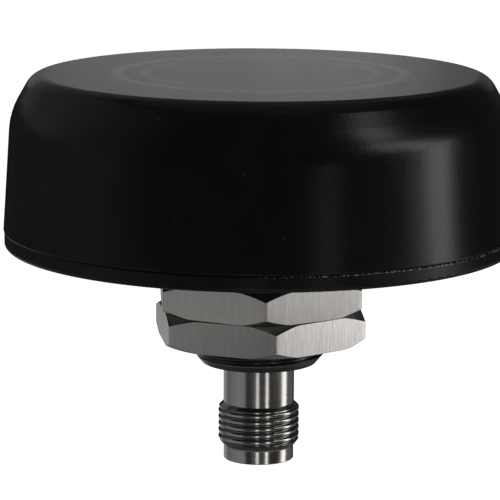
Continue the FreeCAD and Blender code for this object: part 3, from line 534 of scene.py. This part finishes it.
def make_nut(name, top, turn):
    """Jam nut: brushed flats, a cone turned off both faces' corners, and a countersunk bore."""
    mesh = bmesh.new()
    spin = Matrix.Rotation(math.radians(turn), 2)
    columns = []
    for point in nut_outline():
        point = spin @ point
        way = point.normalized()
        columns.append([
            mesh.verts.new((way.x * r * MM, way.y * r * MM, z * MM))
            for r, z in nut_section(point.length, top)
        ])
    for here, there in zip(columns, columns[1:] + columns[:1]):
        for i in range(len(here)):
            j = (i + 1) % len(here)
            mesh.faces.new((here[i], there[i], there[j], here[j]))
    bmesh.ops.recalc_face_normals(mesh, faces=mesh.faces)
    nut = finished(name, mesh, sharp=24)
    paint(nut, nut_steel)
    nut.data.materials.append(turned_steel)
    for face in nut.data.polygons:
        if abs(face.normal.z) > NUT_FACE_TILT:
            face.material_index = 1
    return nut


stem = make_stem()
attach(stem, "housing")
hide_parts("threaded_stem")

jack = make_jack()
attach(jack, "housing")
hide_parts("connector_body")

# Each nut's name, the height of its upper face in millimetres, its turn in degrees, its body
NUTS = [("nut_upper", -3.36, 3.16, "upper_nut"), ("nut_lower", -7.83, 8.33, "lower_nut")]
for name, top, turn, body in NUTS:
    nut = make_nut(name, top, turn)
    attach(nut, body)
    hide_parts("mounting_" + name)

# Finishes of the pieces that keep the solids' own shape
FINISHES = {
    radome_plastic: ["radome"],
    base_plastic: ["base_plate"],
    black_rubber: ["panel_gasket", "housing_seal", "connector_seal"],
    screw_steel: ["housing_screws", "stem_screws", "board_screws"],
    washer_steel: ["lock_washer"],
    jack_nickel: ["connector_retainer"],
    contact_gold: ["connector_contact", "pigtail_plug", "lower_feed_pin", "upper_feed_pin"],
    dielectric: ["connector_insulator", "board_socket"],
    cable_jacket: ["coax_pigtail"],
    board_laminate: ["circuit_board"],
    tinned_can: ["shield_can"],
    chip_black: ["saw_filters", "amplifier_chips"],
    capacitor_body: ["capacitors"],
    patch_ceramic: ["lower_patch", "upper_patch"],
    silver_layer: ["lower_electrode", "upper_electrode"],
    adhesive_film: ["lower_patch_tape", "upper_patch_tape"],
    foam: ["foam_pad"],
}
for material, names in FINISHES.items():
    for node in names:
        paint(NODES[node], material)


# World and floor, in metres

FLOOR = -0.2
FLOOR_SIZE = 6


def empty_tree(owner):
    owner.use_nodes = True
    owner.node_tree.nodes.clear()
    return owner.node_tree


def light(tree, kind, level):
    """A white light shader: Background or Emission."""
    node = tree.nodes.new("ShaderNode" + kind)
    node.inputs["Color"].default_value = WHITE
    node.inputs["Strength"].default_value = level
    return node.outputs[0]


def mixed(tree, factor, first, second):
    """The first shader where the factor is 0, the second where it is 1."""
    node = tree.nodes.new("ShaderNodeMixShader")
    for socket, value in zip(node.inputs, (factor, first, second)):
        tree.links.new(value, socket)
    return node.outputs[0]


def white_to_view(tree, seen, unseen):
    """Mixes the shader that the camera, gloss and glass see with the one that lights."""
    rays = tree.nodes.new("ShaderNodeLightPath").outputs
    looking = maths(tree, "MAXIMUM", rays["Is Camera Ray"], rays["Is Glossy Ray"])
    looking = maths(tree, "MAXIMUM", looking, rays["Is Transmission Ray"])
    return mixed(tree, looking, unseen, seen)


def make_world():
    world = bpy.data.worlds.new("studio")
    bpy.context.scene.world = world
    tree = empty_tree(world)
    output = tree.nodes.new("ShaderNodeOutputWorld")
    seen, unseen = light(tree, "Background", 1.0), light(tree, "Background", 0.5)
    tree.links.new(white_to_view(tree, seen, unseen), output.inputs["Surface"])


def make_floor():
    """Pale floor well under the piece, lifted to white for the view but keeping its shadow."""
    mesh = bmesh.new()
    bmesh.ops.create_grid(mesh, x_segments=4, y_segments=4, size=FLOOR_SIZE)
    for vertex in mesh.verts:
        vertex.co.z = FLOOR
    floor = finished("floor", mesh)
    material = bpy.data.materials.new("pale floor")
    tree = empty_tree(material)
    plain = tree.nodes.new("ShaderNodeBsdfDiffuse")
    plain.inputs["Color"].default_value = (0.86, 0.86, 0.86, 1)
    lifted = tree.nodes.new("ShaderNodeAddShader")
    tree.links.new(plain.outputs[0], lifted.inputs[0])
    tree.links.new(light(tree, "Emission", 0.6), lifted.inputs[1])
    above = white_to_view(tree, lifted.outputs[0], plain.outputs[0])
    below = tree.nodes.new("ShaderNodeBsdfTransparent")
    side = tree.nodes.new("ShaderNodeNewGeometry")
    output = tree.nodes.new("ShaderNodeOutputMaterial")
    both_sides = mixed(tree, side.outputs["Backfacing"], above, below.outputs[0])
    tree.links.new(both_sides, output.inputs["Surface"])
    paint(floor, material)


make_world()
make_floor()

# Cards that only gloss sees, in degrees and metres: each is part of a cylinder round the piece,
# (turn from, turn to, low, high, level), with turns counted from the front to the right
CARD_RADIUS = 0.25
BACK_RADIUS = 0.6
GLINT_RADIUS = 0.12
CARD_STEP = 4

HOUSING_CARDS = [
    # back and left, below and above
    (-180, -150, -0.053, 0.03, 0.01), (-150, -130, -0.03, 0.04, 0.03),
    (-130, -110, -0.03, 0.04, 0.06), (-110, -90, -0.03, 0.04, 0.12),
    (-90, -62, -0.03, 0.04, 0.2), (-62, -48, -0.03, 0.04, 0.1),
    (-150, -120, 0.04, 0.3, 0.14), (-120, -80, 0.04, 0.3, 0.24), (-80, -55, 0.04, 0.3, 0.14),
    (-150, -55, 0.3, 0.4, 0.02), (-55, -48, 0.04, 0.4, 0.04),
    # front
    (-48, 23, -0.03, 0.4, 0.02), (23, 32, -0.03, 0.02, 0.7), (23, 32, 0.02, 0.4, 0.02),
    (32, 48, -0.03, 0.4, 0.02),
    # right, above
    (48, 62, 0.13, 0.25, 3.4), (48, 62, 0.25, 0.4, 0.02), (62, 70, 0.13, 0.25, 0.8),
    (62, 92, 0.25, 0.4, 0.02), (70, 92, 0.13, 0.25, 0.03),
    # right, the rising highlight of the shoulder
    (48, 58, 0.045, 0.08, 0.1), (48, 58, 0.08, 0.11, 4.6), (48, 58, 0.11, 0.13, 0.8),
    (58, 68, 0.045, 0.068, 0.1), (58, 68, 0.068, 0.098, 5.4), (58, 68, 0.098, 0.13, 0.3),
    (68, 78, 0.045, 0.054, 0.1), (68, 78, 0.054, 0.084, 5.4), (68, 78, 0.084, 0.13, 0.1),
    (78, 90, 0.045, 0.066, 4.6), (78, 90, 0.066, 0.13, 0.06),
    # right, below
    (48, 64, -0.03, 0.045, 0.02), (64, 74, -0.03, 0.045, 0.8), (74, 87, -0.03, 0.045, 4.4),
    # right and back
    (87, 158, -0.06, 0.03, 0.03), (158, 173, -0.06, 0.03, 0.03), (173, 180, -0.03, 0.03, 1.2),
    (87, 150, 0.03, 0.045, 0.03), (90, 150, 0.045, 0.13, 0.03), (92, 150, 0.13, 0.4, 0.03),
]
NUT_CARDS = [
    (-180, -150, -0.075, -0.053, 0.36), (-150, -110, -0.06, -0.03, 0.03),
    (-110, -80, -0.06, -0.03, 0.1), (-80, -20, -0.06, -0.03, 0.26),
    (-20, 45, -0.06, -0.03, 0.04), (45, 60, -0.06, -0.03, 0.6), (60, 65, -0.06, -0.03, 0.75),
    (65, 70, -0.06, -0.03, 0.95), (70, 76, -0.06, -0.03, 1.05), (76, 87, -0.06, -0.03, 1.2),
]

# Rows of cards of one height, as (turn from, turn to, level)
JACK_LOW, JACK_HIGH = -0.17, -0.06
JACK_BANDS = [
    (-180, -128, 0.38), (-128, -116, 0.19), (-116, -100, 0.22), (-100, -80, 0.28),
    (-80, -48, 0.31), (-48, -42, 0.2), (-42, -30, 0.03), (-30, -20, 0.05), (-20, -8, 0.14),
    (-8, 0, 1.5), (0, 16, 0.06), (16, 22, 0.1), (22, 24, 0.6), (24, 30, 2.2), (30, 34, 0.3),
    (34, 68, 0.03), (68, 78, 0.12), (78, 84, 0.9), (84, 100, 2.2), (100, 105, 0.6),
    (105, 140, 0.16), (140, 180, 0.06),
]
BACK_LOW, BACK_HIGH = 0.05, 0.15
CEILING = 0.42
BACK_BANDS = [
    (110, 150, 0.1), (150, 171, 0.16), (171, 174, 0.29), (174, 176, 0.42), (176, 184, 0.48),
    (184, 187, 0.42), (187, 210, 0.3), (210, 250, 0.1),
]


def only_in_gloss(name, mesh, level):
    """A glowing screen of the mesh that shows in reflections alone."""
    screen = finished(name, mesh)
    material = bpy.data.materials.new(name)
    tree = empty_tree(material)
    output = tree.nodes.new("ShaderNodeOutputMaterial")
    tree.links.new(light(tree, "Emission", level), output.inputs["Surface"])
    paint(screen, material)
    screen.visible_camera = False
    screen.visible_diffuse = False
    screen.visible_shadow = False
    screen.visible_transmission = False


def card(name, turn_from, turn_to, low, high, level, radius=CARD_RADIUS):
    """A curved card round the piece."""
    mesh = bmesh.new()
    steps = max(2, math.ceil((turn_to - turn_from) / CARD_STEP))
    columns = []
    for k in range(steps + 1):
        angle = math.radians(turn_from + (turn_to - turn_from) * k / steps)
        x, y = radius * math.sin(angle), -radius * math.cos(angle)
        columns.append([mesh.verts.new((x, y, z)) for z in (low, high)])
    for here, there in zip(columns, columns[1:]):
        mesh.faces.new((here[0], there[0], there[1], here[1]))
    only_in_gloss(name, mesh, level)


def board(name, height, radius, level):
    """A round board over or under the piece."""
    mesh = bmesh.new()
    bmesh.ops.create_circle(mesh, cap_ends=True, segments=48, radius=radius)
    for vertex in mesh.verts:
        vertex.co.z = height
    only_in_gloss(name, mesh, level)


for index, values in enumerate(HOUSING_CARDS + NUT_CARDS):
    card(f"card_{index}", *values)
for index, (turn_from, turn_to, level) in enumerate(JACK_BANDS):
    card(f"jack_card_{index}", turn_from, turn_to, JACK_LOW, JACK_HIGH, level)
for index, (turn_from, turn_to, level) in enumerate(BACK_BANDS):
    card(f"back_card_{index}", turn_from, turn_to, BACK_LOW, BACK_HIGH, level, BACK_RADIUS)
card("back_shade", 110, 186, BACK_HIGH, CEILING, 0.04, BACK_RADIUS)
card("back_low_right", 110, 174, -0.03, BACK_LOW, 0.04, BACK_RADIUS)
card("back_low_left", 186, 250, -0.03, BACK_LOW, 0.08, BACK_RADIUS)
card("back_shade_left", 186, 250, BACK_HIGH, CEILING, 0.12, BACK_RADIUS)
board("ceiling", CEILING, 0.62, 0.14)
board("under_board", JACK_LOW, CARD_RADIUS, 0.15)
card("glint_card", 8, 60, -0.168, -0.12, 0.9, GLINT_RADIUS)


# Lamps and camera

LAMP_SIZE = 0.5


def soft_box(name, place, power):
    """A square area lamp turned to the piece, unseen in its gloss."""
    lamp = bpy.data.lights.new(name, "AREA")
    lamp.shape = "RECTANGLE"
    lamp.size = lamp.size_y = LAMP_SIZE
    lamp.energy = power
    holder = bpy.data.objects.new(name, lamp)
    holder.location = place
    holder.rotation_euler = (-Vector(place)).to_track_quat("-Z", "Y").to_euler()
    holder.visible_glossy = False
    bpy.context.scene.collection.objects.link(holder)


soft_box("key", (0.5, -0.55, 0.6), 3.0)
soft_box("fill", (-0.6, -0.5, 0.35), 1.2)

# The camera's place and aim in millimetres, and its roll in degrees
CAMERA_PLACE = Vector((-1.303, -378.443, 70.571))
CAMERA_AIM = Vector((-1.303, 0, -0.1425))
CAMERA_ROLL = 0.289

lens = bpy.data.cameras.new("camera")
lens.lens = 203.42
lens.sensor_width = 36
lens.clip_start = 0.01
camera = bpy.data.objects.new("camera", lens)
bpy.context.scene.collection.objects.link(camera)
camera.location = CAMERA_PLACE * MM
look = (CAMERA_AIM * MM - CAMERA_PLACE * MM).to_track_quat("-Z", "Y").to_matrix()
camera.rotation_euler = (look @ Matrix.Rotation(math.radians(CAMERA_ROLL), 3, "Z")).to_euler()
bpy.context.scene.camera = camera
bpy.context.scene.view_settings.view_transform = "Standard"
